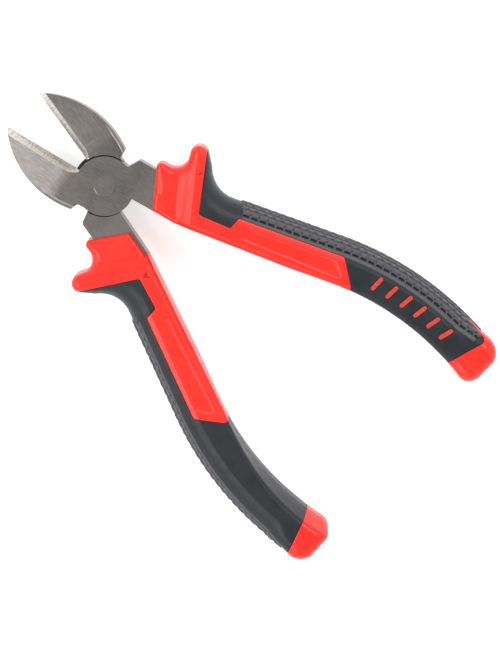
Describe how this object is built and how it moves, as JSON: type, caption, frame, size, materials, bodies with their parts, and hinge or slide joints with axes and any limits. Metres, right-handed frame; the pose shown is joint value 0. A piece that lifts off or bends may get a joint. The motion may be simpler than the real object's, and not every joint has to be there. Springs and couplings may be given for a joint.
{
  "type": "diagonal cutting pliers",
  "caption": "Diagonal cutting pliers with a flush-riveted lap joint, rounded jaws with ground cutting edges, and two-colour moulded grips with thumb guards; jaws and handles open and close.",
  "frame": {"origin": "on the pivot axis, in the flat back face of the head", "axes": "+Z along the pivot axis, from the back face to the front face; +X along the tool's long axis from the jaws to the handles; +Y towards the handle of the front half"},
  "size_m": [0.1557, 0.0902, 0.018],
  "materials": {
    "tool_steel": "finely ground, bright on the cutting bevels",
    "rivet_steel": "ground flush",
    "red_plastic": "satin moulded",
    "soft_rubber": "matt, moulded texture on the palm side",
    "inlay_plastic": "satin"
  },
  "bodies": {
    "rear_half": {"rear_lever": "tool_steel", "pivot_rivet": "rivet_steel", "rear_core": "red_plastic", "rear_overmould": "soft_rubber", "rear_grip_inlay": "inlay_plastic"},
    "front_half": {"front_lever": "tool_steel", "front_core": "red_plastic", "front_overmould": "soft_rubber", "front_grip_inlay": "inlay_plastic"}
  },
  "joints": [
    {"name": "pivot", "type": "hinge", "parent": "rear_half", "child": "front_half", "pos_m": [0, 0, 0.005], "axis": [0, 0, 1], "range_deg": [-23, 14]}
  ]
}
